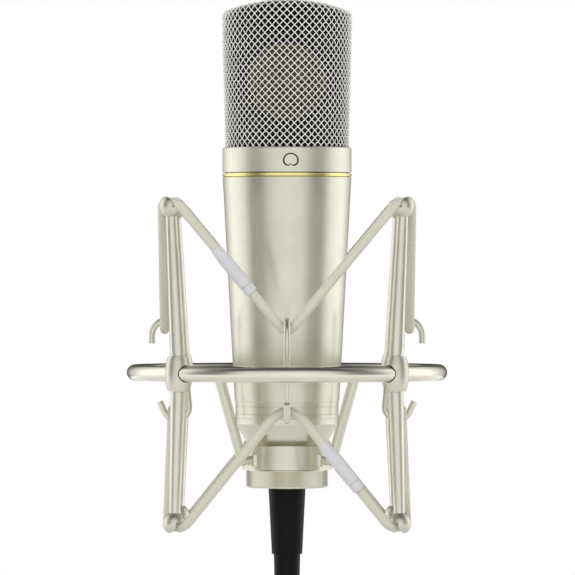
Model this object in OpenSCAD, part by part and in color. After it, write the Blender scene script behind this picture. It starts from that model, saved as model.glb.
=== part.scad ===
// Large-diaphragm condenser microphone held in a spider shock mount.
// Origin: the mouth of the stand socket, on the socket's axis. +Z is up and the capsule faces -Y.
// Heights and depths are measured from the suspension ring's plane, and radii from the microphone's
// axis. placed() carries each part from there to the origin.

/* [Microphone] */
// Outer radius of the body tube at its top end
tube_r_top = 28.3; // [27.8:0.1:28.3]
// Outer radius of the body tube at its bottom end
tube_r_bottom = 23; // [23:0.1:23.6]
// Wall of the body tube
tube_wall = 1.6; // [1:0.1:2]
// Height of the top end of the body tube above the suspension ring
tube_top = 85.9; // [85.9:0.1:86]
// Depth of the bottom end of the body tube below the suspension ring
tube_bottom = 12.9; // [12.8:0.1:12.9]
// Outer radius of the accent ring and the grille collar
head_r = 28.4; // [28.4:0.1:28.8]
// Height of the crown of the grille
crown_top = 163.2; // [160:0.2:166]
// Outer radius of the grille at its shoulder
grille_r = 28.7; // [28.5:0.1:29.2]

/* [Capsule] */
// Radius of the capsule
capsule_r = 17; // [15:0.5:18]
// Thickness of the capsule body
capsule_t = 8; // [6:0.5:10]
// Height of the capsule's centre
capsule_z = 128; // [126:0.5:130]

/* [Suspension ring] */
// Radius of the ring's centre line
ring_r = 67; // [67:0.1:68]
// Radius of the ring's tube
ring_tube = 3.5; // [3.2:0.1:3.6]
// Height of a barrel knuckle
knuckle_h = 15.2; // [14:0.2:18]
// Radius from the axis of the upper arm tips
upper_tip_r = 70.9; // [70.7:0.1:71.1]
// Height of the upper arm tips
upper_tip_z = 72.6; // [72:0.1:73]
// Radius from the axis of the lower arm tips
lower_tip_r = 68.8; // [68.6:0.1:69]
// Depth of the lower arm tips
lower_tip_z = 64.7; // [64.4:0.1:64.9]
// Radius of a tip ball
ball_r = 5.1; // [5:0.1:5.3]

/* [Elastic cords] */
// Radius of a cord
cord_r = 2.1; // [2:0.05:2.1]
// Distance of the cord's centre beyond the centre of the ball
cord_lift = 1.5; // [1.5:0.1:1.8]

/* [Cradle] */
// Radius of the hook rods
rod_r = 1.45; // [1.2:0.05:1.45]
// Radius of the slanted struts
strut_r = 2; // [1.6:0.1:2]
// Radius of the base ring
base_r = 19.6; // [19:0.1:20]
// Top of the base ring, as a depth
base_top = 32.1; // [32.1:0.05:32.3]
// Bottom of the base ring, as a depth
base_bottom = 42.6; // [42.4:0.1:42.7]

/* [Stand swivel] */
// Distance of the tilt pivot behind the microphone's axis
pivot_y = 92; // [92:0.5:96]
// Radius of the tilt bolt
bolt_r = 3; // [2.5:0.1:3]
// Radius of the stand thread's wall, 5/8 inch nominal
stand_r = 7.45; // [7.2:0.05:7.9]
// Radius of the stand socket
socket_r = 12; // [11:0.5:13]
// Bottom of the stand socket, as a depth
socket_bottom = 44; // [40:1:48]

/* [Hidden] */
$fn = 72;
running = 0.05;        // radial clearance of a part that turns or slides
overlap = 1;           // how far a cutting shape reaches past the part
nickel = [0.80, 0.79, 0.70];
steel = [0.76, 0.74, 0.67];
gold = [0.98, 0.82, 0.40];
brass = [0.72, 0.60, 0.30];
rubber = [0.12, 0.12, 0.11];
plastic = [0.16, 0.16, 0.17];
board_green = [0.10, 0.32, 0.18];
mylar = [0.85, 0.75, 0.45];
cord_colour = [0.69, 0.68, 0.60];
sleeve_grey = [0.80, 0.80, 0.80];

accent_top = 87.9;
collar_top = 98.8;
mesh_seat = 94.5;      // shoulder inside the collar that the grille stands on
mesh_foot_r = 27.2;    // grille's outer radius at that shoulder
mesh_t = 0.9;
screen_gap = 0.7;      // air between the outer mesh and the screen inside it
screen_t = 0.4;
shoulder_z = 150;
corner_r = 3;          // rounding where the vaulted top meets the sides
vault_r = 83;          // the top curves from left to right only
head_bore = 26;        // inner radius of the collar and the accent ring
symbol_k = 3.2;        // scale of the engraved pickup pattern
symbol_line = 0.6;     // width of its line
symbol_x = 1.65;
symbol_z = 91.55;      // height of its cusp
symbol_depth = 0.3;
plate_t = 3;           // head plate
terminal_r = 1.2;      // centre hole of the capsule and its terminals
film_t = 0.2;
capsule_ring_t = 1.4;
capsule_ring_w = 1.6;
saddle_drop = 6;       // foot of the saddle below the capsule's rim
joint_depth = 1.2;     // shadow joints above and below the accent ring
upper_joint_h = 0.6;
lower_joint_h = 0.25;
groove = 0.12;

tail_top = 22.6;
tail_r = 22.5;
tail_low = 32;
tail_low_r = 17;
thread_r = 19.5;       // boss that the bottom ring screws onto
stub_r = 13;
stub_low = 50.2;
socket_bore = 9.8;
pin_circle = 4;
pin_r = 1.2;
contact_r = pin_r + running;

lock_top = 42.8;
lock_low = 50.7;
lock_r = 18.1;
knurl_ribs = 140;
plug_low = 51;
boot_low = 79.8;
sleeve_low = 104;
cable_low = 125;
cable_r = 3.2;

touching = 0.02;       // gap between two parts that lie against each other
washer_seat = 0.6;     // recess in the base ring for the isolation washer
lug_reach = 24;
lug_w = 8;
lug_screw_r = 21.5;    // radius from the axis of the screw that holds a strut
lug_screw = 1.25;
strut_end_z = -38.4;
strut_r0 = 42.9;       // radius from the axis of a strut in the ring's plane
strut_corner_r = 28.1; // where a strut's slanted line meets its inward end
strut_seat_r = 18.5;   // how far a strut's end reaches into the base ring
rod_lean = 3.5 / 35.8; // outward lean of a hook rod, per unit of height
rod_r0 = 44.64;        // radius from the axis of a rod in the ring's plane
hoop_tube = 1.5;
hoop_r = rod_r0 - rod_r - hoop_tube - touching;
upper_hook_z = 22.9;
upper_hook_arc = 6.8;  // radius of the upper hook's outer bend
upper_hook_r = 52.7;   // its centre's distance from the axis
lower_hook_z = -20.3;
lower_hook_arc = 4.6;
lower_hook_r = 49.6;
upper_cord_r = 53.8;   // corner of the cord under the hook, before rounding
upper_cord_z = 17;
lower_cord_r = 50.2;
lower_cord_z = -11.3;
upper_hook_bend = 5;   // how far from its corner a cord starts to bend
lower_hook_bend = 13;
ball_bend = 3.4;
upper_run = 4.6;       // half the straight run of a cord through a ball's slot
lower_run = 5.3;
upper_shift = 0.8;     // how far outward the cord lies from the middle of the slot
lower_shift = -0.9;
slot_side = 1;         // room in the slot on each side of the cord
screw_r = 1.5;         // grub screws and clamp screws
bracket_w = 18;
bracket_h = 14;
bracket_screw_x = 6;
bracket_screw_z = 5.2;
cap_t = 5.5;
eye_r = 7;             // round end of the tongue and the two ears
tongue = 4;            // half width of the bracket's tongue
washer_t = 0.8;
ear_out = 10;

// ---- helpers ----

module placed() { translate([0, -pivot_y, socket_bottom]) children(); }

// straight round bar between two points
module bar(p, q, r1, r2) {
    v = q - p;
    translate(p) rotate([0, acos(v[2] / norm(v)), atan2(v[1], v[0])])
        cylinder(h = norm(v), r1 = r1, r2 = r2);
}

// round wire along an arc in the XZ plane, from angle a0 through sweep a
module wire_arc(c, radius, a0, a, r) {
    translate([c[0], 0, c[1]]) rotate([90, 0, 0]) rotate([0, 0, a0])
        rotate_extrude(angle = a) translate([radius, 0]) circle(r = r);
}

// repeats around the axis, starting at an azimuth measured from the front
module around(count, start = 0) {
    for (i = [0 : count - 1]) rotate([0, 0, start + i * 360 / count - 90]) children();
}

module ring(r_out, r_in, z0, z1) {
    translate([0, 0, z0]) difference() {
        cylinder(r = r_out, h = z1 - z0);
        translate([0, 0, -overlap]) cylinder(r = r_in, h = z1 - z0 + 2 * overlap);
    }
}

function arc(cx, cy, r, a0, a1, n) = [for (i = [0 : n]) let (a = a0 + (a1 - a0) * i / n)
    [cx + r * cos(a), cy + r * sin(a)]];

// ---- microphone head ----

// right half of the grille's top seen from the front, moved inwards by d
function vault(d) = let (
    zc = crown_top - vault_r + sqrt(pow(vault_r - corner_r, 2) - pow(grille_r - corner_r, 2)),
    turn = atan2(grille_r - corner_r, zc - crown_top + vault_r))
    concat([[grille_r + overlap, mesh_seat - 2 * overlap], [grille_r + overlap, zc]],
           arc(grille_r - corner_r, zc, corner_r - d, 20, 90 - turn, 5),
           arc(0, crown_top - vault_r, vault_r - d, 90 - turn, 90, 12));

function mirrored(list) = [for (i = [len(list) - 2 : -1 : 0]) [-list[i][0], list[i][1]]];

// tapered round sides, cut off by the vaulted top
module grille_form(d, base_z) {
    intersection() {
        rotate_extrude() polygon([
            [0, base_z], [mesh_foot_r - d, base_z], [grille_r - d, shoulder_z],
            [grille_r - d, crown_top + overlap], [0, crown_top + overlap]]);
        rotate([90, 0, 0]) linear_extrude(height = 3 * grille_r, center = true)
            polygon(concat(vault(d), mirrored(vault(d))));
    }
}

module grille_shell(d0, d1) {
    color(steel) placed() difference() {
        grille_form(d0, mesh_seat);
        grille_form(d1, mesh_seat - overlap);
    }
}

module outer_grille() { grille_shell(0, mesh_t); }

module inner_grille() { grille_shell(mesh_t + screen_gap, mesh_t + screen_gap + screen_t); }

// heart-shaped pickup pattern with a deep cusp at the origin
module heart(k) {
    polygon([for (i = [-90 : 5 : 265]) let (r = k * sqrt(1 + sin(i))) [r * cos(i), r * sin(i)]]);
}

module pickup_symbol() {
    inner_k = symbol_k - 1.11 * symbol_line;
    translate([symbol_x, 0, symbol_z]) rotate([90, 0, 0])
        linear_extrude(height = head_r + overlap) difference() {
            heart(symbol_k);
            translate([0, 0.58 * symbol_line]) heart(inner_k);
        }
}

module grille_collar() {
    color(nickel) placed() difference() {
        rotate_extrude() polygon(concat(
            [[head_bore, accent_top], [head_r, accent_top]],
            arc(head_r - 0.6, collar_top - 0.6, 0.6, 0, 90, 5),
            [[mesh_foot_r + 0.25, collar_top], [mesh_foot_r + 0.25, mesh_seat],
             [head_bore, mesh_seat]]));
        difference() {
            pickup_symbol();
            translate([0, 0, tube_top]) cylinder(r = head_r - symbol_depth, h = 20);
        }
    }
}

module accent_ring() {
    low = tube_top + lower_joint_h;
    high = accent_top - upper_joint_h;
    color(gold) placed() rotate_extrude() polygon([
        [head_bore, tube_top], [head_r - joint_depth, tube_top], [head_r - joint_depth, low],
        [head_r, low], [head_r, high], [head_r - joint_depth, high],
        [head_r - joint_depth, accent_top], [head_bore, accent_top]]);
}

module head_plate() {
    color(brass) placed() difference() {
        translate([0, 0, accent_top]) cylinder(r = head_bore - running, h = plate_t);
        for (x = [-10, 10]) translate([x, 8, accent_top - overlap])
            cylinder(r = 2, h = plate_t + 2 * overlap);
    }
}

module facing_front(y) { translate([0, y, capsule_z]) rotate([90, 0, 0]) children(); }

module capsule_body() {
    color(brass) placed() difference() {
        facing_front(capsule_t / 2) cylinder(r = capsule_r, h = capsule_t);
        facing_front(capsule_t / 2 + overlap) cylinder(r = terminal_r, h = capsule_t + 2 * overlap);
        // shallow dished electrodes under the two diaphragms
        facing_front(-capsule_t / 2 + 0.3) cylinder(r = capsule_r - 3, h = overlap);
        facing_front(capsule_t / 2 + overlap - 0.3) cylinder(r = capsule_r - 3, h = overlap);
    }
}

module diaphragm(y) {
    color(mylar) placed() facing_front(y) difference() {
        cylinder(r = capsule_r - 0.2, h = film_t);
        translate([0, 0, -overlap]) cylinder(r = terminal_r, h = film_t + 2 * overlap);
    }
}
module front_diaphragm() { diaphragm(-capsule_t / 2); }
module rear_diaphragm() { diaphragm(capsule_t / 2 + film_t); }

module clamp_rings() {
    front_y = -capsule_t / 2 - film_t;
    color(gold) placed() for (y = [front_y, capsule_ring_t - front_y]) facing_front(y) difference() {
        cylinder(r = capsule_r, h = capsule_ring_t);
        translate([0, 0, -overlap])
            cylinder(r = capsule_r - capsule_ring_w, h = capsule_ring_t + 2 * overlap);
    }
}

module centre_terminals() {
    color(gold) placed() for (side = [-1, 1]) facing_front(0) mirror([0, 0, side > 0 ? 1 : 0]) {
        translate([0, 0, 0.5]) cylinder(r = terminal_r - running, h = capsule_t / 2);
        translate([0, 0, capsule_t / 2 + 0.25]) cylinder(r = 2, h = 0.9);
    }
}

module capsule_saddle() {
    color(plastic) placed() difference() {
        translate([-9, -6.5, capsule_z - capsule_r - saddle_drop]) cube([18, 13, 9]);
        facing_front(10) cylinder(r = capsule_r + touching, h = 20);
    }
}

module capsule_post() {
    foot_z = accent_top + plate_t;
    color(plastic) placed() translate([0, 0, foot_z])
        cylinder(r1 = 8, r2 = 5, h = capsule_z - capsule_r - saddle_drop - foot_z);
}

// ---- microphone body ----

module body_tube() {
    color(nickel) placed() rotate_extrude() polygon([
        [tube_r_bottom - tube_wall, -tube_bottom], [tube_r_bottom - 0.2, -tube_bottom],
        [tube_r_bottom, -tube_bottom + 0.2], [tube_r_top, tube_top - 0.3],
        [tube_r_top - 0.3, tube_top], [tube_r_top - tube_wall, tube_top]]);
}

// radius of a groove cut all round the bottom ring
function ring_groove(z, r) = [[r, -z + groove], [r - groove, -z], [r, -z - groove]];

module bottom_ring() {
    r = tube_r_bottom - 0.35;
    color(nickel) placed() rotate_extrude() polygon(concat(
        [[thread_r, -tube_bottom], [r, -tube_bottom]],
        ring_groove(14.9, r), ring_groove(18.3, r),
        [[r, -20], [r + 0.15, -20.3], [r, -tail_top], [thread_r, -tail_top]]));
}

module tail_cone() {
    color(nickel) placed() difference() {
        rotate_extrude() polygon([
            [0, -8], [thread_r - 0.02, -8], [thread_r - 0.02, -tail_top], [tail_r, -tail_top],
            [tail_low_r, -tail_low], [stub_r, -tail_low], [stub_r, -stub_low + 0.4],
            [stub_r - 0.4, -stub_low], [0, -stub_low]]);
        translate([0, 0, -stub_low - overlap]) cylinder(r = socket_bore, h = 30);
        translate([0, 0, -stub_low]) cylinder(r = 6, h = 60);
        translate([0, 0, -19]) cylinder(r = 15, h = 20);
    }
}

module chassis_rails() {
    color(steel) placed() for (x = [-18.6, 15.6]) translate([x, -4, -8]) cube([3, 8, accent_top + 8]);
}

module circuit_board() {
    color(board_green) placed() difference() {
        translate([-15.55, 2, 22]) cube([31.1, 1.6, 62]);
        for (x = [-12, 12], z = [26, 80]) translate([x, 5, z]) rotate([90, 0, 0])
            cylinder(r = 1.3, h = 5);
    }
}

module board_screws() {
    color(steel) placed() for (x = [-12, 12], z = [26, 80]) {
        translate([x, 5, z]) rotate([90, 0, 0]) cylinder(r = 1.25, h = 4);
        translate([x, 2, z]) rotate([90, 0, 0]) cylinder(r = 2.2, h = 1.2);
    }
}

module capacitors() {
    color(gold) placed() {
        for (z = [36, 50, 64]) translate([-7, 2, z]) rotate([90, 0, 0]) cylinder(r = 4, h = 11);
        for (z = [34, 46, 58, 70]) translate([2, -6, z]) cube([10, 8, 7]);
    }
}

module transistors() {
    color(plastic) placed() for (x = [-6, 2]) difference() {
        translate([x, 0, 78]) cylinder(r = 2.4, h = 5);
        translate([x - 3, 1.99, 77]) cube([6, 3, 8]);
    }
}

module output_transformer() {
    color(steel) placed() {
        translate([-11, -11, -2]) cube([22, 22, 20]);
        translate([-15.5, -3, 18]) cube([31, 6, 1.5]);
    }
}

module connector_insert() {
    color(plastic) placed() difference() {
        translate([0, 0, -26.8]) cylinder(r = socket_bore - 0.02, h = 5.58);
        around(3) translate([pin_circle, 0, -30]) cylinder(r = pin_r + 0.02, h = 12);
    }
}

module connector_pins() {
    color(gold) placed() around(3) translate([pin_circle, 0, 0]) {
        translate([0, 0, -38]) cylinder(r = pin_r, h = 20);
        translate([0, 0, -39.2]) cylinder(r1 = pin_r / 2, r2 = pin_r, h = 1.2);
    }
}

module lock_ring() {
    color(nickel) placed() difference() {
        union() {
            translate([0, 0, -lock_low + 0.8]) linear_extrude(height = lock_low - lock_top - 1.2)
                polygon([for (i = [0 : 2 * knurl_ribs - 1])
                    (lock_r - (i % 2) * 0.35) * [cos(i * 180 / knurl_ribs), sin(i * 180 / knurl_ribs)]]);
            translate([0, 0, -lock_low]) cylinder(r1 = lock_r - 1, r2 = lock_r - 0.5, h = 0.8);
            translate([0, 0, -lock_top - 0.4]) cylinder(r = lock_r - 0.5, h = 0.4);
        }
        translate([0, 0, -lock_low - overlap]) cylinder(r = stub_r + running, h = 12);
    }
}

// ---- cable plug ----

module plug_shell() {
    color(steel) placed() rotate_extrude() polygon([
        [8.2, -28], [socket_bore - running, -28], [socket_bore - running, -plug_low],
        [6.5, -plug_low], [6.5, -62], [5.3, -62], [5.3, -49], [8.2, -49]]);
}

module plug_insert() {
    color(plastic) placed() difference() {
        translate([0, 0, -48.5]) cylinder(r = 8.18, h = 20);
        around(3) translate([pin_circle, 0, -50]) cylinder(r = 2, h = 25);
    }
}

module plug_contacts() {
    color(gold) placed() around(3) translate([pin_circle, 0, -46]) difference() {
        cylinder(r = 1.95, h = 17);
        translate([0, 0, 4]) cylinder(r = contact_r, h = 20);
    }
}

module strain_relief() {
    color(rubber) placed() difference() {
        translate([0, 0, -boot_low]) cylinder(r1 = 6.7, r2 = 8.15, h = boot_low - plug_low);
        translate([0, 0, -62]) cylinder(r = 6.5, h = 20);
        translate([0, 0, -boot_low - overlap]) cylinder(r = cable_r, h = 40);
    }
}

module boot_sleeve() {
    color(rubber) placed() difference() {
        translate([0, 0, -sleeve_low]) cylinder(r1 = 5.3, r2 = 5.8, h = sleeve_low - boot_low);
        translate([0, 0, -sleeve_low - overlap]) cylinder(r = cable_r, h = 40);
    }
}

module cable() {
    color(rubber) placed() translate([0, 0, -cable_low]) cylinder(r = cable_r, h = cable_low - 50);
}

// ---- cradle ----

module cradle_base() {
    height = base_bottom - base_top;
    notch_r = 2.2;      // hollows that narrow the outer end of each lug
    notch_h = 5.2;
    color(nickel) placed() difference() {
        union() {
            translate([0, 0, -base_bottom]) cylinder(r = base_r, h = height);
            around(4, 45) translate([stub_r + 3, -lug_w / 2, -base_bottom + 0.1])
                cube([lug_reach - stub_r - 3, lug_w, height - 0.2]);
        }
        translate([0, 0, -base_bottom - overlap])
            cylinder(r = stub_r + running, h = height + 2 * overlap);
        translate([0, 0, -base_top - washer_seat]) cylinder(r = tail_low_r, h = washer_seat + overlap);
        around(4, 45) {
            translate([strut_seat_r, 0, strut_end_z]) rotate([0, 90, 0]) cylinder(r = strut_r, h = 10);
            translate([lug_screw_r, 0, -base_bottom - overlap]) cylinder(r = lug_screw, h = 4);
            for (side = [-1, 1]) translate([24.4, side * 4.7, strut_end_z - notch_h / 2])
                cylinder(r = notch_r, h = notch_h);
        }
    }
}

module strut_screws() {
    color(steel) placed() around(4, 45) translate([lug_screw_r, 0, -base_bottom + 0.1])
        cylinder(r = lug_screw - touching, h = base_bottom - 0.1 + strut_end_z - strut_r - touching);
}

module isolation_washer() {
    color(rubber) placed()
        ring(tail_low_r - 0.2, stub_r + 0.1, -base_top - washer_seat + touching, -tail_low - touching);
}

module cradle_hoop() {
    color(steel) placed() rotate_extrude() translate([hoop_r, 0]) circle(r = hoop_tube);
}

function rod_at(z) = [rod_r0 + rod_lean * z, 0, z];

// end of a hook: a bend in the XZ plane from straight up or down, then a short straight tip
module hook_tip(centre, radius, side, sweep, tip) {
    end = centre + radius * [sin(sweep), 0, side * cos(sweep)];
    wire_arc([centre[0], centre[2]], radius, side > 0 ? 90 - sweep : 270, sweep, rod_r);
    bar(end, end + tip * [cos(sweep), 0, -side * sin(sweep)], rod_r, rod_r);
}

module hook_rods() {
    top = 19.4;
    low = -15.4;
    upper_bend = upper_hook_z - top;
    lower_bend = low - lower_hook_z;
    upper_centre = [upper_hook_r, 0, upper_hook_z - upper_hook_arc];
    lower_centre = [lower_hook_r, 0, lower_hook_z + lower_hook_arc];
    color(steel) placed() around(4) {
        bar(rod_at(low), rod_at(top), rod_r, rod_r);
        // upper hook opens downwards
        wire_arc([rod_at(top)[0] + upper_bend, top], upper_bend, 90, 90, rod_r);
        bar([rod_at(top)[0] + upper_bend, 0, upper_hook_z], [upper_hook_r, 0, upper_hook_z],
            rod_r, rod_r);
        hook_tip(upper_centre, upper_hook_arc, 1, 90, 3.4);
        // lower hook opens upwards
        wire_arc([rod_at(low)[0] + lower_bend, low], lower_bend, 180, 90, rod_r);
        bar([rod_at(low)[0] + lower_bend, 0, lower_hook_z], [lower_hook_r, 0, lower_hook_z],
            rod_r, rod_r);
        hook_tip(lower_centre, lower_hook_arc, -1, 65, 5.3);
    }
}

module cradle_struts() {
    lean = atan2(strut_r0 - strut_corner_r, -strut_end_z);
    corner = [strut_corner_r, 0, strut_end_z];
    length = 40;        // up to the middle of the hoop, which its end is cut to fit
    seat_gap = 0.1;
    color(steel) placed() difference() {
        around(4, 45) {
            bar(corner, corner + length * [sin(lean), 0, cos(lean)], strut_r, strut_r);
            translate(corner) sphere(r = strut_r + 0.25);
            translate([strut_seat_r + seat_gap, 0, strut_end_z]) rotate([0, 90, 0])
                cylinder(r = strut_r, h = strut_corner_r - strut_seat_r - seat_gap);
        }
        rotate_extrude() translate([hoop_r, 0]) circle(r = hoop_tube + touching);
    }
}

// ---- suspension ring ----

module suspension_ring() {
    color(steel) placed() rotate_extrude() translate([ring_r, 0]) circle(r = ring_tube);
}

module ring_knuckles() {
    barrel_r = 5.45;
    end_r = 4.2;
    half = knuckle_h / 2;
    bulge = (half * half + pow(barrel_r - end_r, 2)) / (2 * (barrel_r - end_r));
    side = asin(half / bulge);
    bore_gap = 0.3;
    color(steel) placed() around(4, 45) difference() {
        translate([ring_r, 0, 0]) rotate_extrude() polygon(concat(
            [[0, -half]], arc(barrel_r - bulge, 0, bulge, -side, side, 12), [[0, half]]));
        rotate_extrude() translate([ring_r, 0]) circle(r = ring_tube + bore_gap);
        translate([ring_r - 10, 0, 0]) rotate([0, 90, 0]) cylinder(r = screw_r, h = 10);
    }
}

module knuckle_screws() {
    reach = 5.2;
    color(steel) placed() around(4, 45) translate([ring_r - reach, 0, 0]) rotate([0, 90, 0])
        cylinder(r = screw_r - touching, h = reach - ring_tube - touching);
}

// one tapered arm from its knuckle to its tip ball
module arm(tip) {
    side = sign(tip[2]);
    foot = [ring_r - 0.9, 0, 0];
    neck_h = 0.4;       // shadow joint between the knuckle and the arm
    joint_z = knuckle_h / 2 + neck_h;
    color(steel) placed() around(4, 45) {
        difference() {
            bar(foot + (tip - foot) * 0.08, tip, 3.6, 2.45);
            translate([ring_r - 10, -10, side > 0 ? joint_z - 20 : -joint_z]) cube(20);
            translate(tip) sphere(r = ball_r);
        }
        translate(foot + (tip - foot) * knuckle_h / 2 / abs(tip[2]))
            mirror([0, 0, side > 0 ? 0 : 1]) cylinder(r = 3, h = neck_h);
    }
}
module upper_arms() { arm([upper_tip_r, 0, upper_tip_z]); }
module lower_arms() { arm([lower_tip_r, 0, -lower_tip_z]); }

// slotted balls: the slot runs along the ring's tangent and opens away from the ring
module tips(tip) {
    side = sign(tip[2]);
    slot = cord_r + slot_side;
    color(steel) placed() around(4, 45) translate(tip) mirror([0, 0, side > 0 ? 0 : 1]) difference() {
        sphere(r = ball_r);
        translate([-slot, -10, cord_lift - cord_r - touching]) cube([2 * slot, 20, 10]);
    }
}
module upper_tips() { tips([upper_tip_r, 0, upper_tip_z]); }
module lower_tips() { tips([lower_tip_r, 0, -lower_tip_z]); }

// ---- elastic cords ----

function polar(r, a, z) = [r * sin(a), -r * cos(a), z];

// corners of one endless cord: under each hook, straight through each slot
function cord_corners(hr, hz, bend, tr, tz, run) = [for (k = [0 : 3]) let (
    a = 45 + 90 * k, ball = polar(tr, a, tz), along = [cos(a), sin(a), 0])
    each [[polar(hr, 90 * k, hz), bend],
          [ball - run * along, ball_bend], [ball + run * along, ball_bend]]];

// rounds every corner with a smooth curve
function cord_path(c) = let (n = len(c)) [for (i = [0 : n - 1]) let (
    p = c[i][0], before = c[(i + n - 1) % n][0], after = c[(i + 1) % n][0],
    a = p + c[i][1] * (before - p) / norm(before - p),
    b = p + c[i][1] * (after - p) / norm(after - p))
    for (s = [0 : 4]) let (t = s / 4) (1 - t) * (1 - t) * a + 2 * t * (1 - t) * p + t * t * b];

function unit(v) = v / norm(v);

// closed tube around the axis; each section is turned to face along the path
module endless_tube(path, r, sides) {
    n = len(path);
    points = [for (i = [0 : n - 1]) let (
        along = unit(path[(i + 1) % n] - path[(i + n - 1) % n]),
        outward = unit([path[i][0], path[i][1], 0]),
        u = unit(outward - (outward * along) * along),
        v = cross(along, u))
        for (j = [0 : sides - 1]) path[i] + r * (cos(j * 360 / sides) * u + sin(j * 360 / sides) * v)];
    faces = [for (i = [0 : n - 1], j = [0 : sides - 1]) let (i2 = (i + 1) % n, j2 = (j + 1) % sides)
        each [[i * sides + j, i * sides + j2, i2 * sides + j],
              [i * sides + j2, i2 * sides + j2, i2 * sides + j]]];
    polyhedron(points = points, faces = faces, convexity = 10);
}

upper_corners = cord_corners(upper_cord_r, upper_cord_z, upper_hook_bend,
    upper_tip_r + upper_shift, upper_tip_z + cord_lift, upper_run);
lower_corners = cord_corners(lower_cord_r, lower_cord_z, lower_hook_bend,
    lower_tip_r + lower_shift, -lower_tip_z - cord_lift, lower_run);

module upper_cord() { color(cord_colour) placed() endless_tube(cord_path(upper_corners), cord_r, 12); }
module lower_cord() { color(cord_colour) placed() endless_tube(cord_path(lower_corners), cord_r, 12); }

// hard sleeve that joins a cord's two ends, between fractions of one strand
module cord_sleeve(p, q, f0, f1) {
    len = norm(q - p) * (f1 - f0);
    v = q - p;
    color(sleeve_grey) placed() translate(p + v * f0)
        rotate([0, acos(v[2] / norm(v)), atan2(v[1], v[0])]) rotate_extrude() polygon([
            [cord_r + 0.03, 0], [2.4, 0], [2.5, len * 0.14], [2.9, len * 0.26], [2.9, len * 0.84],
            [2.6, len * 0.85], [2.75, len * 0.86], [2.7, len], [cord_r + 0.03, len]]);
}

module upper_cord_sleeve() { cord_sleeve(upper_corners[11][0], upper_corners[0][0], 0.35, 0.68); }
module lower_cord_sleeve() { cord_sleeve(lower_corners[0][0], lower_corners[1][0], 0.345, 0.705); }

// ---- stand swivel, behind the microphone ----

module bracket_holes() {
    for (x = [-bracket_screw_x, bracket_screw_x]) translate([x, 0, bracket_screw_z])
        rotate([-90, 0, 0]) cylinder(r = screw_r, h = pivot_y);
}

module ring_bracket() {
    color(steel) placed() difference() {
        union() {
            translate([-bracket_w / 2, ring_r, -bracket_h / 2]) cube([bracket_w, 8, bracket_h]);
            translate([-tongue, ring_r + 6, -5.5]) cube([2 * tongue, pivot_y - ring_r - 6, 11]);
            translate([-tongue, pivot_y, 0]) rotate([0, 90, 0]) cylinder(r = eye_r, h = 2 * tongue);
        }
        rotate_extrude() translate([ring_r, 0]) circle(r = ring_tube);
        translate([-10, pivot_y, 0]) rotate([0, 90, 0]) cylinder(r = bolt_r + running, h = 20);
        bracket_holes();
    }
}

module bracket_cap() {
    color(steel) placed() difference() {
        translate([-bracket_w / 2, ring_r - cap_t, -bracket_h / 2])
            cube([bracket_w, cap_t - touching, bracket_h]);
        rotate_extrude() translate([ring_r, 0]) circle(r = ring_tube);
        bracket_holes();
    }
}

module bracket_screws() {
    head_h = 1.5;
    color(nickel) placed() for (x = [-bracket_screw_x, bracket_screw_x])
        translate([x, ring_r - cap_t, bracket_screw_z]) rotate([-90, 0, 0]) {
            cylinder(r = screw_r - touching, h = 12);
            translate([0, 0, -head_h]) cylinder(r = screw_r + 0.25, h = head_h);
        }
}

module stand_yoke() {
    inner = tongue + washer_t;
    neck_z = 12;          // depth at which the two ears join
    gap_h = 5;
    bore_depth = 26;
    color(steel) placed() difference() {
        union() {
            for (side = [0, 1]) mirror([side, 0, 0]) translate([inner, pivot_y, 0]) {
                rotate([0, 90, 0]) cylinder(r = eye_r, h = ear_out - inner);
                translate([0, -eye_r, -16]) cube([ear_out - inner, 2 * eye_r, 16]);
            }
            translate([0, pivot_y, -socket_bottom]) cylinder(r = socket_r, h = socket_bottom - neck_z);
        }
        translate([-20, pivot_y, 0]) rotate([0, 90, 0]) cylinder(r = bolt_r + touching, h = 40);
        translate([0, pivot_y, -socket_bottom - overlap])
            cylinder(r = stand_r, h = bore_depth + overlap);
        translate([-inner, pivot_y - socket_r - overlap, -neck_z - 0.01])
            cube([2 * inner, 2 * (socket_r + overlap), gap_h]);
    }
}

module tilt_bolt() {
    head_h = 3;
    color(nickel) placed() translate([-ear_out - head_h, pivot_y, 0]) rotate([0, 90, 0]) {
        cylinder(r = 5, h = head_h);
        cylinder(r = bolt_r, h = 2 * ear_out + 10);
    }
}

module friction_washers() {
    color(plastic) placed() for (x = [-tongue - washer_t + touching, tongue + touching])
        translate([x, pivot_y, 0]) rotate([0, 90, 0]) difference() {
            cylinder(r = eye_r - 0.5, h = washer_t - 2 * touching);
            translate([0, 0, -overlap]) cylinder(r = bolt_r + touching, h = 4);
        }
}

module tilt_knob() {
    grip_r = 7;
    grip_h = 9;
    lobe_r = 2.2;
    color(plastic) placed() translate([ear_out + 0.1, pivot_y, 0]) rotate([0, 90, 0]) difference() {
        union() {
            cylinder(r = grip_r, h = grip_h);
            for (i = [0 : 5]) rotate([0, 0, 60 * i]) translate([grip_r - lobe_r + 1, 0, 0])
                cylinder(r = lobe_r, h = grip_h);
        }
        translate([0, 0, -overlap]) cylinder(r = bolt_r + running, h = grip_h);
    }
}

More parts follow.
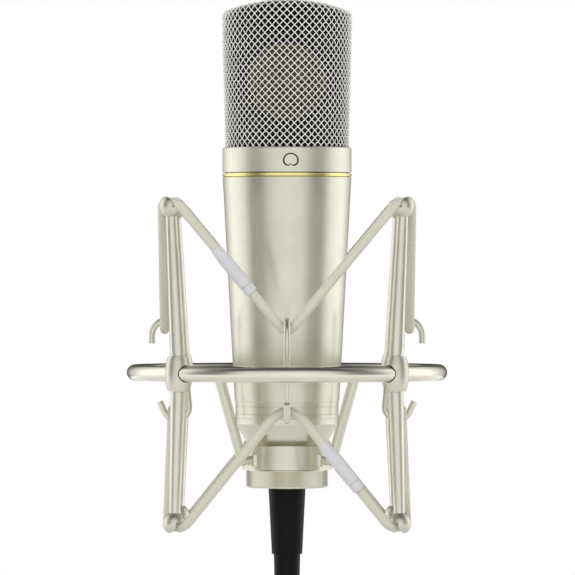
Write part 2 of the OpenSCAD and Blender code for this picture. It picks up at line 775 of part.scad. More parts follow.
outer_grille();
inner_grille();
grille_collar();
accent_ring();
head_plate();
capsule_body();
front_diaphragm();
rear_diaphragm();
clamp_rings();
centre_terminals();
capsule_saddle();
capsule_post();
body_tube();
bottom_ring();
chassis_rails();
circuit_board();
capacitors();
transistors();
output_transformer();
board_screws();
tail_cone();
connector_insert();
connector_pins();
lock_ring();
plug_shell();
plug_insert();
plug_contacts();
strain_relief();
boot_sleeve();
cable();
cradle_base();
isolation_washer();
cradle_hoop();
hook_rods();
cradle_struts();
strut_screws();
suspension_ring();
ring_knuckles();
knuckle_screws();
upper_arms();
lower_arms();
upper_tips();
lower_tips();
upper_cord();
lower_cord();
upper_cord_sleeve();
lower_cord_sleeve();
ring_bracket();
bracket_cap();
bracket_screws();
stand_yoke();
tilt_bolt();
friction_washers();
tilt_knob();
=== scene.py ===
"""Looks for a large-diaphragm condenser microphone in a spider shock mount.

The CAD nodes come in as a fixed frame, in metres, with the microphone upright and its front towards
-Y. This script gives every piece its material and replaces the plain stand-ins with real shapes: the
woven grille, the inner screens and the braided elastic cords.
"""
import math
import bpy
import numpy as np
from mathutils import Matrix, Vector


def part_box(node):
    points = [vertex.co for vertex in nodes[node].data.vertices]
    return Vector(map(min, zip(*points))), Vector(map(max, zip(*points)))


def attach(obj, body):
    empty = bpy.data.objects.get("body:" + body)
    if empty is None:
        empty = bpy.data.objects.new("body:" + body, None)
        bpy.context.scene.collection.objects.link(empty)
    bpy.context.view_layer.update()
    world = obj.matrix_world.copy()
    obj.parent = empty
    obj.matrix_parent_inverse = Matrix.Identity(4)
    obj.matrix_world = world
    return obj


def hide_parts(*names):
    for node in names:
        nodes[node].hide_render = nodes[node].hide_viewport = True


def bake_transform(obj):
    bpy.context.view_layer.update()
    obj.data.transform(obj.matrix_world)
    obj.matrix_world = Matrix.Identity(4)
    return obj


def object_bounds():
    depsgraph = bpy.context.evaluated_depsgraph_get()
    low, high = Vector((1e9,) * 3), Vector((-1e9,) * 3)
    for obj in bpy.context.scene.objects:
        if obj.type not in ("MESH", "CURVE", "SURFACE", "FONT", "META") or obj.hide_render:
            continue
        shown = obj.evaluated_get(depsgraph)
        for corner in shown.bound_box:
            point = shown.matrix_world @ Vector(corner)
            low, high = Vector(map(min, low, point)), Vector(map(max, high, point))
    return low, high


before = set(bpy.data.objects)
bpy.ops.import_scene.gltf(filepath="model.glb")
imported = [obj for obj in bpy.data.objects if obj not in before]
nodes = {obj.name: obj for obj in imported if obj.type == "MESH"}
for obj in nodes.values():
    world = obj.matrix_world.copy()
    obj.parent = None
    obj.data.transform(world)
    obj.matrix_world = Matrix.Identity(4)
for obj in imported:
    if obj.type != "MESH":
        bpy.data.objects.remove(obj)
cad_low, cad_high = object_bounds()
MM = 0.001
TAU = 2 * math.pi
# centre of the suspension ring, on the microphone's axis: every point below is measured from it
CENTRE = (np.array(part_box("suspension_ring")[0]) + np.array(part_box("suspension_ring")[1])) / 2


# ---- small helpers for node materials ----

def linear(r, g, b):
    """An 0-255 display colour as linear light, with alpha."""
    out = []
    for value in (r, g, b):
        v = value / 255
        out.append(v / 12.92 if v <= 0.04045 else ((v + 0.055) / 1.055) ** 2.4)
    return (*out, 1.0)


class Shader:
    """A material's node tree with short calls for the nodes used here."""

    def __init__(self, name):
        self.material = bpy.data.materials.new(name)
        self.material.use_nodes = True
        self.tree = self.material.node_tree
        self.bsdf = self.tree.nodes["Principled BSDF"]
        self.coords = self.tree.nodes.new("ShaderNodeTexCoord").outputs["Object"]

    def link(self, source, target):
        self.tree.links.new(source, target)

    def node(self, kind, **values):
        made = self.tree.nodes.new(kind)
        for key, value in values.items():
            setattr(made, key, value)
        return made

    def stretched(self, sx, sy, sz):
        """Object coordinates multiplied along each axis."""
        made = self.node("ShaderNodeMapping")
        made.inputs["Scale"].default_value = (sx, sy, sz)
        self.link(self.coords, made.inputs["Vector"])
        return made.outputs["Vector"]

    def noise(self, scale, detail=3.0, vector=None):
        made = self.node("ShaderNodeTexNoise")
        made.inputs["Scale"].default_value = scale
        made.inputs["Detail"].default_value = detail
        self.link(vector or self.coords, made.inputs["Vector"])
        return made.outputs["Fac"]

    def ramp(self, source, stops, smooth=True):
        """stops: (place, colour) pairs."""
        made = self.node("ShaderNodeValToRGB")
        made.color_ramp.interpolation = "EASE" if smooth else "LINEAR"
        elements = made.color_ramp.elements
        while len(elements) < len(stops):
            elements.new(0.5)
        for element, (place, colour) in zip(elements, stops):
            element.position = place
            element.color = colour
        self.link(source, made.inputs["Fac"])
        return made.outputs["Color"]

    def math(self, kind, a, b=None):
        made = self.node("ShaderNodeMath", operation=kind)
        for slot, value in zip(made.inputs, (a, b)):
            if value is None:
                continue
            if isinstance(value, (int, float)):
                slot.default_value = value
            else:
                self.link(value, slot)
        return made.outputs["Value"]

    def spread(self, source, low, high):
        """A 0-1 value mapped to low-high."""
        made = self.node("ShaderNodeMapRange")
        made.inputs["To Min"].default_value = low
        made.inputs["To Max"].default_value = high
        self.link(source, made.inputs["Value"])
        return made.outputs["Result"]

    def bump(self, height, depth, strength=1.0):
        made = self.node("ShaderNodeBump")
        made.inputs["Distance"].default_value = depth
        made.inputs["Strength"].default_value = strength
        self.link(height, made.inputs["Height"])
        self.link(made.outputs["Normal"], self.bsdf.inputs["Normal"])
        return made

    def set(self, **values):
        for key, value in values.items():
            self.bsdf.inputs[key.replace("_", " ")].default_value = value


def tint(colour, factor):
    return (colour[0] * factor, colour[1] * factor, colour[2] * factor, 1.0)


def metal(name, colour, roughness, grain=2500, grain_depth=0.000004, streaks=0.0, mottling=0.03,
          metallic=1.0):
    """Plated or machined metal: fine grain, slight mottling and, if asked, streaks up the part."""
    s = Shader(name)
    s.set(Metallic=metallic)
    cloud = s.noise(90, 4)
    s.link(s.ramp(cloud, [(0.3, tint(colour, 1 - mottling)), (0.7, tint(colour, 1 + mottling))]),
           s.bsdf.inputs["Base Color"])
    rough = s.noise(400, 5)
    if streaks:
        rough = s.math("ADD", s.math("MULTIPLY", rough, 1 - streaks),
                       s.math("MULTIPLY", s.noise(1, 4, s.stretched(3000, 3000, 60)), streaks))
    s.link(s.spread(rough, roughness * 0.85, roughness * 1.15), s.bsdf.inputs["Roughness"])
    s.bump(s.noise(grain, 3), grain_depth)
    return s.material


def moulded(name, colour, roughness, grain=1800, grain_depth=0.00002, mottling=0.06, sheen=0.0,
             specular=0.5):
    """Plastic or rubber: moulded grain and slight colour variation."""
    s = Shader(name)
    cloud = s.noise(120, 3)
    s.link(s.ramp(cloud, [(0.3, tint(colour, 1 - mottling)), (0.7, tint(colour, 1 + mottling))]),
           s.bsdf.inputs["Base Color"])
    s.link(s.spread(s.noise(500, 3), roughness * 0.85, min(1.0, roughness * 1.15)),
           s.bsdf.inputs["Roughness"])
    s.set(Sheen_Weight=sheen, Specular_IOR_Level=specular)
    s.bump(s.noise(grain, 4), grain_depth)
    return s.material


def ring_gold_painted_joint_shade(face_radius):
    """Gold plating with painted shade in the joints above and below the band, which lie within
    face_radius of the axis: there the gold is painted darker, standing in for the shadow in the joints."""
    s = Shader("ring_gold_painted_joint_shade")
    s.set(Metallic=1.0)
    across = s.node("ShaderNodeVectorMath", operation="MULTIPLY_ADD")
    across.inputs[1].default_value = (1, 1, 0)
    across.inputs[2].default_value = (-CENTRE[0], -CENTRE[1], 0)
    s.link(s.coords, across.inputs[0])
    radius = s.node("ShaderNodeVectorMath", operation="LENGTH")
    s.link(across.outputs["Vector"], radius.inputs[0])
    on_face = s.math("GREATER_THAN", radius.outputs["Value"], face_radius)
    # painted shade: inside face_radius, in the joints, the gold is darkened to stand in for the shadow
    # that falls there
    s.link(s.ramp(on_face, [(0.0, linear(146, 140, 98)), (1.0, linear(255, 243, 170))]),
           s.bsdf.inputs["Base Color"])
    s.link(s.spread(s.noise(400, 5), 0.20, 0.28), s.bsdf.inputs["Roughness"])
    s.bump(s.noise(900, 3), 0.000002)
    return s.material


# ---- materials ----

satin_nickel = metal("satin_nickel", linear(224, 222, 205), 0.30, streaks=0.5)
collar_nickel = metal("collar_nickel", linear(228, 226, 209), 0.38, streaks=0.5)
bright_nickel = metal("bright_nickel", linear(236, 233, 217), 0.20, grain=900, grain_depth=0.000002)
soft_nickel = metal("soft_nickel", linear(220, 217, 202), 0.36, grain=900, grain_depth=0.000002)
rod_nickel = metal("rod_nickel", linear(228, 226, 209), 0.34, grain=1500)
wire_metal = metal("grille_wire", linear(254, 253, 247), 0.40, grain=1500, metallic=0.5)
screen_metal = metal("screen_wire", linear(100, 99, 92), 0.45, grain=1500)
gold_plate = metal("gold_plate", linear(255, 238, 160), 0.24, grain=900, grain_depth=0.000002)
band_gold_painted_joint_shade = ring_gold_painted_joint_shade(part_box("accent_ring")[1].x - 0.5 * MM)     # the joints are 1.2 mm deep, and their gold is painted darker as shade
brass_metal = metal("machined_brass", linear(196, 164, 84), 0.32, streaks=0.4)
steel_metal = metal("plated_steel", linear(198, 196, 188), 0.30)
film_gold = metal("film_gold", linear(232, 222, 150), 0.40, grain=300, grain_depth=0.000003)
sleeve_plastic = moulded("sleeve_plastic", linear(206, 206, 208), 0.36, mottling=0.02)
black_plastic = moulded("black_plastic", linear(28, 28, 29), 0.42)
black_rubber = moulded("black_rubber", linear(9, 9, 8), 0.45, grain=1100, grain_depth=0.00001,
                       specular=0.15)
symbol_paint = moulded("symbol_paint", linear(30, 28, 16), 0.6)
board_laminate = moulded("board_laminate", linear(24, 84, 46), 0.35)


def cord_fabric():
    """Braided cover of the elastic cords: matt yarn, with painted shade between the strands."""
    s = Shader("cord_braid")
    depth = s.node("ShaderNodeAttribute", attribute_name="braid").outputs["Fac"]
    yarn = linear(206, 204, 186)
    # painted shade: the yarn is darkened where the braid lies deepest, between the strands, and a
    # little lighter on the strands' tops
    s.link(s.ramp(depth, [(0.0, tint(yarn, 0.72)), (0.5, tint(yarn, 0.96)), (1.0, tint(yarn, 1.05))]),
           s.bsdf.inputs["Base Color"])
    s.link(s.spread(s.noise(2500, 2), 0.55, 0.75), s.bsdf.inputs["Roughness"])
    s.set(Sheen_Weight=0.25, Sheen_Roughness=0.4)
    s.bump(s.noise(6000, 3), 0.00003)
    return s.material


def gauze():
    """Very fine black screen: threads on a grid, open between them. Its inside face is painted shade:
    seen by the camera it is opaque black and hides what is beyond it, standing in for the dark space
    behind a real grille."""
    s = Shader("fine_gauze")
    threads = [s.node("ShaderNodeAttribute", attribute_name=name).outputs["Fac"]
               for name in ("across", "along")]
    lines = [s.math("LESS_THAN", s.math("FRACT", value), 0.35) for value in threads]
    # painted shade: seen by the camera, the inside face is made fully opaque black, standing in for the
    # dark space behind the grille
    inside = s.math("MULTIPLY", s.node("ShaderNodeNewGeometry").outputs["Backfacing"],
                    s.node("ShaderNodeLightPath").outputs["Is Camera Ray"])
    s.set(Base_Color=linear(9, 9, 8), Roughness=0.8)
    s.bsdf.inputs["Specular IOR Level"].default_value = 0.1
    s.link(s.math("MAXIMUM", inside, s.math("MAXIMUM", *lines)), s.bsdf.inputs["Alpha"])
    s.bump(s.noise(3000, 2), 0.00001)
    return s.material


braid = cord_fabric()
gauze_metal = gauze()

NODE_MATERIALS = {
    collar_nickel: ["grille_collar"],
    satin_nickel: ["body_tube", "bottom_ring", "tail_cone", "lock_ring", "cradle_base"],
    bright_nickel: ["suspension_ring"],
    soft_nickel: ["ring_knuckles", "upper_tips", "lower_tips"],
    rod_nickel: ["upper_arms", "lower_arms", "cradle_hoop", "hook_rods", "cradle_struts",
                 "ring_bracket", "bracket_cap", "stand_yoke"],
    wire_metal: ["outer_grille"],
    screen_metal: ["inner_grille"],
    band_gold_painted_joint_shade: ["accent_ring"],
    gold_plate: ["clamp_rings", "centre_terminals", "connector_pins", "plug_contacts"],
    brass_metal: ["head_plate", "capsule_body", "capacitors"],
    film_gold: ["front_diaphragm", "rear_diaphragm"],
    steel_metal: ["chassis_rails", "board_screws", "output_transformer", "plug_shell",
                  "strut_screws", "knuckle_screws", "bracket_screws", "tilt_bolt"],
    black_plastic: ["capsule_saddle", "capsule_post", "transistors", "connector_insert",
                    "plug_insert", "friction_washers", "tilt_knob"],
    board_laminate: ["circuit_board"],
    black_rubber: ["strain_relief", "boot_sleeve", "cable", "isolation_washer"],
    braid: ["upper_cord", "lower_cord"],
    sleeve_plastic: ["upper_cord_sleeve", "lower_cord_sleeve"],
}
for material, names in NODE_MATERIALS.items():
    for name in names:
        nodes[name].data.materials.clear()
        nodes[name].data.materials.append(material)


# ---- mesh helpers ----

def placed(x, y, z):
    """A point of the frame, from its place about the ring's centre."""
    return tuple(float(value) for value in CENTRE + (x, y, z))


def mesh_object(name, points, faces, material, smooth=True):
    mesh = bpy.data.meshes.new(name)
    faces = np.asarray(faces)
    mesh.vertices.add(len(points))
    mesh.vertices.foreach_set("co", (np.asarray(points) + CENTRE).astype(np.float32).ravel())
    count, sides = faces.shape
    mesh.loops.add(count * sides)
    mesh.loops.foreach_set("vertex_index", faces.astype(np.int32).ravel())
    mesh.polygons.add(count)
    mesh.polygons.foreach_set("loop_start", np.arange(0, count * sides, sides, dtype=np.int32))
    mesh.polygons.foreach_set("loop_total", np.full(count, sides, np.int32))
    mesh.polygons.foreach_set("use_smooth", np.full(count, smooth))
    mesh.update()
    mesh.validate()
    mesh.materials.append(material)
    made = bpy.data.objects.new(name, mesh)
    bpy.context.scene.collection.objects.link(made)
    return made


def unit(v):
    return v / np.linalg.norm(v, axis=-1, keepdims=True)


def tube(path, outward, radius, sides, closed=False):
    """Round tube along a path. outward is a direction for each point that is never along the path.
    radius is one number, one a point, or a grid of point by side. Returns points and faces."""
    path = np.asarray(path, float)
    if closed:
        along = np.roll(path, -1, 0) - np.roll(path, 1, 0)
    else:
        along = np.gradient(path, axis=0)
    along = unit(along)
    u = unit(outward - (outward * along).sum(1, keepdims=True) * along)
    v = np.cross(along, u)
    turn = np.arange(sides) / sides * TAU
    ring = np.cos(turn)[None, :, None] * u[:, None] + np.sin(turn)[None, :, None] * v[:, None]
    grid = np.broadcast_to(np.asarray(radius, float).reshape(-1, 1) if np.ndim(radius) == 1
                           else radius, (len(path), sides))
    points = (path[:, None] + ring * grid[..., None]).reshape(-1, 3)
    i = np.arange(len(path) if closed else len(path) - 1)[:, None]
    j = np.arange(sides)[None, :]
    i2, j2 = (i + 1) % len(path), (j + 1) % sides
    faces = np.stack([i * sides + j, i2 * sides + j, i2 * sides + j2, i * sides + j2], -1)
    return points, faces[..., ::-1].reshape(-1, 4)


def joined(parts):
    """Several (points, faces) as one."""
    points, faces, start = [], [], 0
    for p, f in parts:
        points.append(p)
        faces.append(f + start)
        start += len(p)
    return np.concatenate(points), np.concatenate(faces)


# ---- grille: outline shared by the woven mesh and the screens ----

grille_low, grille_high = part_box("outer_grille")
CROWN = grille_high.z - CENTRE[2]
GRILLE_R = 28.7 * MM
FOOT_Z = grille_low.z - CENTRE[2]
FOOT_R = 27.2 * MM
SHOULDER_Z = 150 * MM
CORNER = 2.6 * MM          # rounding where the sides turn into the vaulted top
VAULT_R = 83 * MM          # the top curves from left to right only
TOP_R = GRILLE_R - CORNER
WIRE_R = 0.245 * MM
WAVE = 0.2 * MM            # how far a wire swings in and out as it passes over and under
WIRES = 54                 # wires of each family round the side
LEAN = 1.02                # how much steeper than 45 degrees they stand
WEAVE_PITCH = 2.32 * MM


def vault_height(x, inset):
    return CROWN - VAULT_R + np.sqrt((VAULT_R - inset) ** 2 - np.asarray(x) ** 2)


def side_radius(z, inset):
    """Radius of the grille's side at a height."""
    share = np.clip((z - FOOT_Z) / (SHOULDER_Z - FOOT_Z), 0, 1)
    return FOOT_R + (GRILLE_R - FOOT_R) * share - inset


def turn_height(angle, inset):
    """Height at which the side starts to turn over into the top."""
    return vault_height(TOP_R * np.cos(angle), inset) - (CORNER - inset)


def side_end(angle, inset):
    """Height of the side's upper end if its rounded corner were unrolled."""
    return turn_height(angle, inset) + (CORNER - inset) * math.pi / 2


def on_side(angle, z, inset):
    """Points and outward directions on the side at unrolled heights."""
    corner = CORNER - inset
    low = turn_height(angle, inset)
    turned = np.clip((z - low) / corner, 0, math.pi / 2)
    r = side_radius(z, inset) - corner + corner * np.cos(turned)
    radial = np.stack([np.cos(angle), np.sin(angle), np.zeros_like(angle)], -1)
    up = np.array([0, 0, 1.0])
    points = radial * r[..., None] + up * (np.minimum(z, low) + corner * np.sin(turned))[..., None]
    return points, radial * np.cos(turned)[..., None] + up * np.sin(turned)[..., None]


def woven_side(name, inset, wire_r, wave, sides, steps, material):
    """Plain weave round the side: one family of wires leans right, one left."""
    z = np.linspace(FOOT_Z + 0.2 * MM, CROWN + CORNER, steps)
    r = side_radius(z, inset)
    lean = np.concatenate([[0], np.cumsum(np.diff(z) / ((r[1:] + r[:-1]) / 2))]) / LEAN
    parts = []
    for family in (1, -1):
        for k in range(WIRES):
            angle = TAU * k / WIRES + family * lean
            keep = z <= side_end(angle, inset)
            crossing = (angle + family * lean) * WIRES / TAU
            swing = family * wave * np.cos(math.pi * (crossing + k))
            points, outward = on_side(angle, z, inset)
            path = points + outward * swing[:, None]
            parts.append(tube(path[keep], outward[keep], wire_r, sides))
    return mesh_object(name, *joined(parts), material)


def woven_top(name, inset, pitch, wire_r, wave, sides, turn, material):
    """Plain weave over the vaulted top: straight wires in plan, laid over the curve."""
    parts = []
    count = int(TOP_R / pitch)
    for family in (0, 1):
        heading = math.radians(turn + 90 * family)
        along = np.array([math.cos(heading), math.sin(heading), 0])
        across = np.array([-along[1], along[0], 0])
        for k in range(-count, count + 1):
            half = math.sqrt(TOP_R ** 2 - (k * pitch) ** 2)
            if half < pitch:
                continue
            t = np.linspace(-half, half, max(6, int(2 * half / pitch * 4)))
            path = t[:, None] * along + k * pitch * across
            swing = (1 if family else -1) * wave * np.cos(math.pi * (t / pitch + k))
            path[:, 2] = vault_height(path[:, 0], inset) + swing
            up = np.stack([path[:, 0] / VAULT_R, 0 * t, 0 * t + 1], 1)
            parts.append(tube(path, up, wire_r, sides))
    return mesh_object(name, *joined(parts), material)


def level_wires(z, inset, wire_r, sides=4, steps=140):
    """A level wire round the side; near the top it is left only where the side reaches so high."""
    angle = np.arange(steps) / steps * TAU
    points, outward = on_side(angle, np.full(steps, z), inset)
    keep = z <= side_end(angle, inset)
    if keep.all():
        return [tube(points, outward, wire_r, sides, closed=True)]
    made = []
    for start in (0, steps // 2):            # the front and the back stretch
        run = np.arange(start, start + steps // 2)
        run = run[keep[run]]
        if len(run) > 3:
            made.append(tube(points[run], outward[run], wire_r, sides))
    return made


def build_outer_weave():
    inset = WIRE_R + WAVE
    side = woven_side("woven_grille_side", inset, WIRE_R, WAVE, 5, 150, wire_metal)
    top = woven_top("woven_grille_top", inset, WEAVE_PITCH, WIRE_R, WAVE, 6, 45, wire_metal)
    rim = mesh_object("grille_foot_wire", *joined(level_wires(FOOT_Z + 0.4 * MM, inset, 0.35 * MM, 8)),
                      wire_metal)
    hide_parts("outer_grille")
    for piece in (side, top, rim):
        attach(piece, "microphone")


def build_inner_screen():
    """Finer screen with upright and level wires, held just inside the woven mesh."""
    inset = 1.8 * MM
    wire_r = 0.13 * MM
    pitch = 1.57 * MM
    count = 106
    parts = []
    for k in range(count):
        angle = TAU * k / count
        z = np.linspace(FOOT_Z + 0.2 * MM, float(side_end(angle, inset)), 70)
        points, outward = on_side(np.full(len(z), angle), z, inset)
        parts.append(tube(points, outward, wire_r, 4))
    for height in np.arange(FOOT_Z + 0.6 * MM, CROWN + CORNER, pitch):
        parts += level_wires(height, inset + wire_r, wire_r)
    side = mesh_object("inner_screen_side", *joined(parts), screen_metal)
    top = woven_top("inner_screen_top", inset, pitch, wire_r, 0.1 * MM, 4, 0, screen_metal)
    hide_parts("inner_grille")
    for piece in (side, top):
        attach(piece, "microphone")


def build_gauze():
    """Innermost fine gauze, one thin skin that follows the grille's outline."""
    inset = 2.4 * MM
    thread = 0.4 * MM
    steps, rows, top_rows = 120, 40, 12
    angle = np.tile(np.arange(steps) / steps * TAU, (rows, 1))
    share = np.linspace(0, 1, rows)[:, None]
    z = FOOT_Z + 0.3 * MM + share * (side_end(angle, inset) - FOOT_Z - 0.3 * MM)
    wall, _ = on_side(angle, z, inset)
    r = np.linspace(TOP_R, 0.1 * MM, top_rows)[:, None]
    x, y = r * np.cos(angle[:top_rows]), r * np.sin(angle[:top_rows])
    top = np.stack([x, y, vault_height(x, inset)], -1)
    points = np.concatenate([wall, top]).reshape(-1, 3)
    i = np.arange(rows + top_rows - 1)[:, None]
    j = np.arange(steps)[None, :]
    faces = np.stack([i * steps + j, i * steps + (j + 1) % steps,
                      (i + 1) * steps + (j + 1) % steps, (i + 1) * steps + j], -1).reshape(-1, 4)
    made = mesh_object("fine_gauze", points, faces, gauze_metal)
    for name, on_wall, on_top in (("across", angle * GRILLE_R, x), ("along", z, y)):
        field = made.data.attributes.new(name, "FLOAT", "POINT")
        field.data.foreach_set("value", (np.concatenate([on_wall, on_top]) / thread)
                               .astype(np.float32).ravel())
    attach(made, "microphone")


build_outer_weave()
build_inner_screen()
build_gauze()


# ---- pickup pattern symbol, painted in the collar's engraving ----

def build_symbol():
    """Heart-shaped outline: a larger heart and a smaller one, shift above it."""
    outer, inner, shift = 3.2 * MM, 2.53 * MM, 0.35 * MM
    centre_x, cusp_z = 1.65 * MM, 91.55 * MM
    below_surface, thickness = 0.08 * MM, 0.2 * MM
    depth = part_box("grille_collar")[1].x - below_surface
    turn = -TAU / 4 + (np.arange(240) + 0.5) / 240 * TAU
    rows = []
    for size, lift in ((outer, 0), (inner, shift)):
        r = size * np.sqrt(1 + np.sin(turn))
        x = centre_x + r * np.cos(turn)
        rows.append(np.stack([x, -np.sqrt(depth ** 2 - x ** 2), cusp_z + lift + r * np.sin(turn)], 1))
    n = len(turn)
    back = [row + np.array([0, thickness, 0]) for row in rows]
    points = np.concatenate(rows + back)
    i = np.arange(n)
    j = (i + 1) % n
    faces = [np.stack(f, 1) for f in (
        (i, j, n + j, n + i),                              # front
        (3 * n + i, 3 * n + j, 2 * n + j, 2 * n + i),      # back
        (2 * n + i, 2 * n + j, j, i),                      # outer edge
        (n + i, n + j, 3 * n + j, 3 * n + i))]             # inner edge
    made = mesh_object("pickup_symbol", points, np.concatenate(faces), symbol_paint, smooth=False)
    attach(made, "microphone")


build_symbol()


# ---- elastic cords ----

CORD_R = 2.1 * MM
BRAID_DEPTH = 0.09 * MM
BALL_BEND = 3.4 * MM        # how far from its corner a cord starts to bend


def polar(r, degrees, z):
    a = math.radians(degrees)
    return np.array([r * math.sin(a), -r * math.cos(a), z])


def cord_corners(hook_r, hook_z, hook_bend, ball_r, ball_z, run):
    """Corners of an endless cord: under each hook and straight through each slotted ball.
    run is half its straight run through a ball's slot."""
    corners = []
    for k in range(4):
        a = math.radians(45 + 90 * k)
        along = np.array([math.cos(a), math.sin(a), 0])
        ball = polar(ball_r, 45 + 90 * k, ball_z)
        corners.append((polar(hook_r, 90 * k, hook_z), hook_bend))
        corners.append((ball - run * along, BALL_BEND))
        corners.append((ball + run * along, BALL_BEND))
    return corners


def rounded_path(corners, spacing):
    """The closed line through the corners with smooth bends, sampled at an even spacing."""
    dense = []
    n = len(corners)
    for k, (p, bend) in enumerate(corners):
        before, after = corners[k - 1][0], corners[(k + 1) % n][0]
        a = p + bend * unit(before - p)
        b = p + bend * unit(after - p)
        t = np.linspace(0, 1, 24)[:, None]
        dense.append((1 - t) ** 2 * a + 2 * t * (1 - t) * p + t ** 2 * b)
    dense = np.concatenate(dense)
    closed = np.vstack([dense, dense[:1]])
    length = np.concatenate([[0], np.cumsum(np.linalg.norm(np.diff(closed, axis=0), axis=1))])
    count = int(length[-1] / spacing)
    at = np.arange(count) / count * length[-1]
    return np.stack([np.interp(at, length, closed[:, c]) for c in range(3)], 1), length[-1]


def build_cord(name, node, corners):
    """Braided cord: two sets of strands wind round it in opposite directions, over and under."""
    spacing = 0.27 * MM
    lay = 7.2 * MM              # length of cord in which a strand winds round once
    crossing = 0.35             # how far the strand that passes over stands out
    path, total = rounded_path(corners, spacing)
    sides = 40
    strands = 9
    twist = round(total / lay)                 # whole turns, so that the braid meets itself
    s = np.arange(len(path)) / len(path) * TAU * twist
    theta = np.arange(sides) / sides * TAU
    a = strands * theta[None, :] + s[:, None]
    b = strands * theta[None, :] - s[:, None]
    right = np.abs(np.cos(a / 2)) + crossing * np.cos(a + b)
    left = np.abs(np.cos(b / 2)) - crossing * np.cos(a + b)
    height = np.clip(np.maximum(right, left) / (1 + crossing), 0, 1)
    outward = unit(path * np.array([1, 1, 0]))
    points, faces = tube(path, outward, CORD_R - BRAID_DEPTH * (1 - height), sides, closed=True)
    made = mesh_object(name, points, faces, braid)
    shade = made.data.attributes.new("braid", "FLOAT", "POINT")
    shade.data.foreach_set("value", height.astype(np.float32).ravel())
    made.visible_glossy = False
    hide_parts(node)
    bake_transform(made)


def build_sleeve(name, node, p, q, f0, f1):
    """Moulded joining sleeve on one straight strand: neck, barrel and a separate end cap."""
    profile = [(0.0, 2.12), (0.0, 2.34), (0.01, 2.4), (0.13, 2.5), (0.20, 2.7), (0.27, 2.88),
               (0.5, 2.92), (0.80, 2.9), (0.835, 2.86), (0.84, 2.55), (0.85, 2.55), (0.855, 2.76),
               (0.99, 2.72), (1.0, 2.66), (1.0, 2.12)]
    sides = 48
    axis = unit(q - p)
    side = unit(np.cross(axis, [0, 0, 1.0]))
    up = np.cross(axis, side)
    turn = np.arange(sides) / sides * TAU
    ring = np.cos(turn)[:, None] * side + np.sin(turn)[:, None] * up
    points = np.concatenate([p + (q - p) * (f0 + (f1 - f0) * place) + ring * r * MM
                             for place, r in profile])
    i = np.arange(len(profile))[:, None]
    j = np.arange(sides)[None, :]
    i2, j2 = (i + 1) % len(profile), (j + 1) % sides
    faces = np.stack([i * sides + j, i * sides + j2, i2 * sides + j2, i2 * sides + j], -1)
    made = mesh_object(name, points, faces.reshape(-1, 4), sleeve_plastic)
    sharp = made.modifiers.new("edges", "EDGE_SPLIT")
    sharp.split_angle = math.radians(50)
    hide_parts(node)
    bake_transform(made)


UPPER_BALL_Z, LOWER_BALL_Z = 74.1 * MM, -66.2 * MM
UPPER_HOOK_Z, LOWER_HOOK_Z = 17 * MM, -11.3 * MM
upper_corners = cord_corners(53.8 * MM, UPPER_HOOK_Z, 5 * MM, 71.7 * MM, UPPER_BALL_Z, 4.6 * MM)
lower_corners = cord_corners(50.2 * MM, LOWER_HOOK_Z, 13 * MM, 67.9 * MM, LOWER_BALL_Z, 5.3 * MM)
build_cord("upper_braided_cord", "upper_cord", upper_corners)
build_cord("lower_braided_cord", "lower_cord", lower_corners)
build_sleeve("upper_joining_sleeve", "upper_cord_sleeve", upper_corners[11][0], upper_corners[0][0],
             0.35, 0.68)
build_sleeve("lower_joining_sleeve", "lower_cord_sleeve", lower_corners[0][0], lower_corners[1][0],
             0.345, 0.705)


# ---- studio: floor, light and camera ----

FLOOR_DROP = 0.08           # below the part, so that the cable clears it when the stand tilts


def build_floor():
    radius = 1.1
    steps = 96
    angle = np.arange(steps) / steps * TAU
    points = np.stack([radius * np.cos(angle), radius * np.sin(angle), 0 * angle], 1)
    mesh = bpy.data.meshes.new("floor")
    mesh.from_pydata(points.tolist(), [], [list(range(steps))])
    floor = bpy.data.objects.new("floor", mesh)
    floor.location = (CENTRE[0], CENTRE[1], cad_low.z - FLOOR_DROP)
    bpy.context.scene.collection.objects.link(floor)
    s = Shader("floor_paint")
    s.set(Base_Color=(0.86, 0.86, 0.86, 1), Roughness=0.9)
    glow = s.node("ShaderNodeEmission")
    glow.inputs["Color"].default_value = (1, 1, 1, 1)
    distance = s.node("ShaderNodeVectorMath", operation="LENGTH")
    s.link(s.coords, distance.inputs[0])
    far = s.node("ShaderNodeMapRange", interpolation_type="SMOOTHSTEP")
    far.inputs["From Min"].default_value = 0.15
    far.inputs["From Max"].default_value = 0.75
    far.inputs["To Min"].default_value = 0.35
    far.inputs["To Max"].default_value = 1.0
    s.link(distance.outputs["Value"], far.inputs["Value"])
    mix = s.node("ShaderNodeMixShader")
    s.link(far.outputs["Result"], mix.inputs["Fac"])
    s.link(s.bsdf.outputs["BSDF"], mix.inputs[1])
    s.link(glow.outputs["Emission"], mix.inputs[2])
    from_below = s.node("ShaderNodeMixShader")          # the floor can't be seen from underneath
    s.link(s.node("ShaderNodeNewGeometry").outputs["Backfacing"], from_below.inputs["Fac"])
    s.link(mix.outputs["Shader"], from_below.inputs[1])
    s.link(s.node("ShaderNodeBsdfTransparent").outputs["BSDF"], from_below.inputs[2])
    s.link(from_below.outputs["Shader"], s.tree.nodes["Material Output"].inputs["Surface"])
    floor.data.materials.append(s.material)


def grey(v):
    return (v, v, v, 1.0)


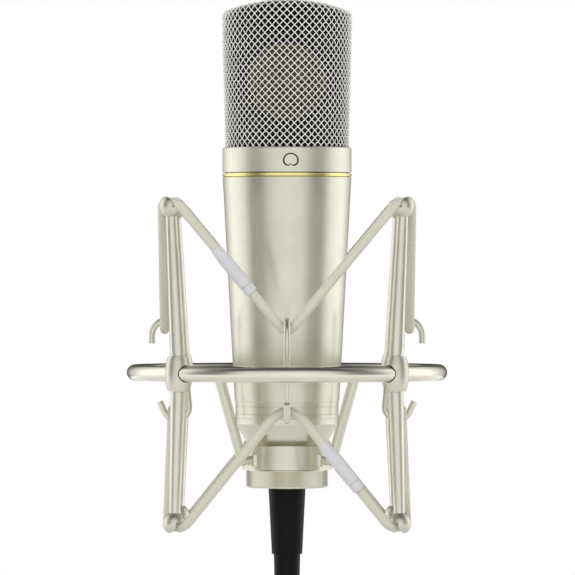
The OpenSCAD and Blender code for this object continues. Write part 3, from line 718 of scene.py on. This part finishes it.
def build_world():
    """White backdrop; what the metal reflects is a soft studio with darker strips at set bearings."""
    world = bpy.data.worlds.new("studio")
    world.use_nodes = True
    bpy.context.scene.world = world
    tree = world.node_tree
    add, link = tree.nodes.new, tree.links.new
    direction = add("ShaderNodeTexCoord").outputs["Generated"]
    split = add("ShaderNodeSeparateXYZ")
    link(direction, split.inputs["Vector"])

    def math_node(kind, a, b=None):
        made = add("ShaderNodeMath")
        made.operation = kind
        for slot, value in zip(made.inputs, (a, b)):
            if value is None:
                continue
            if isinstance(value, (int, float)):
                slot.default_value = value
            else:
                link(value, slot)
        return made.outputs["Value"]

    def ramp(value, stops):
        made = add("ShaderNodeValToRGB")
        made.color_ramp.interpolation = "EASE"
        elements = made.color_ramp.elements
        while len(elements) < len(stops):
            elements.new(0.5)
        for element, (place, light) in zip(elements, stops):
            element.position = place
            element.color = grey(light)
        link(value, made.inputs["Fac"])
        return made.outputs["Color"]

    x, y, z = split.outputs
    bearing = math_node("ARCTAN2", x, math_node("MULTIPLY", y, -1))     # 0 towards the camera
    bearing = math_node("DIVIDE", math_node("ABSOLUTE", bearing), math.pi)
    height = math_node("ADD", math_node("MULTIPLY", z, 0.5), 0.5)       # 0 straight down, 1 straight up
    around = ramp(bearing, [(0.0, 0.95), (0.15, 0.88), (0.30, 0.22), (0.37, 0.28), (0.50, 1.15),
                            (0.68, 1.36), (0.80, 0.75), (0.93, 0.10), (1.0, 0.06)])
    level = ramp(height, [(0.0, 0.75), (0.38, 0.95), (0.50, 1.0), (0.68, 1.0), (0.80, 0.85),
                          (0.93, 0.25), (1.0, 0.10)])
    both = add("ShaderNodeMixRGB")
    both.blend_type = "MULTIPLY"
    both.inputs["Fac"].default_value = 1.0
    link(around, both.inputs["Color1"])
    link(level, both.inputs["Color2"])
    seen = add("ShaderNodeLightPath").outputs["Is Camera Ray"]
    pick = add("ShaderNodeMixRGB")
    link(seen, pick.inputs["Fac"])
    link(both.outputs["Color"], pick.inputs["Color1"])
    pick.inputs["Color2"].default_value = (1, 1, 1, 1)
    background = tree.nodes["Background"]
    link(pick.outputs["Color"], background.inputs["Color"])
    background.inputs["Strength"].default_value = 1.0


def add_light(name, place, size, power):
    light = bpy.data.lights.new(name, "AREA")
    light.size = size
    light.energy = power
    made = bpy.data.objects.new(name, light)
    made.location = placed(*place)
    aim = -Vector(place)
    made.rotation_euler = aim.to_track_quat("-Z", "Y").to_euler()
    made.visible_glossy = False
    bpy.context.scene.collection.objects.link(made)


def build_camera():
    """Long lens from straight ahead, at the height of the middle of the body."""
    distance = 2.86
    eye_height = 0.0406
    sideways = 0.0002
    camera = bpy.data.cameras.new("camera")
    camera.sensor_width = 36
    camera.lens = 407
    camera.clip_end = 50
    camera.shift_y = -0.013
    made = bpy.data.objects.new("camera", camera)
    made.location = placed(sideways, -distance, eye_height)
    made.rotation_euler = (math.pi / 2, 0, 0)
    bpy.context.scene.collection.objects.link(made)
    bpy.context.scene.camera = made


build_floor()
build_world()
add_light("key", (-0.9, -1.2, 1.1), 0.7, 12)
add_light("fill", (1.2, -0.9, 0.6), 0.9, 6)
build_camera()
bpy.context.scene.view_settings.view_transform = "Standard"
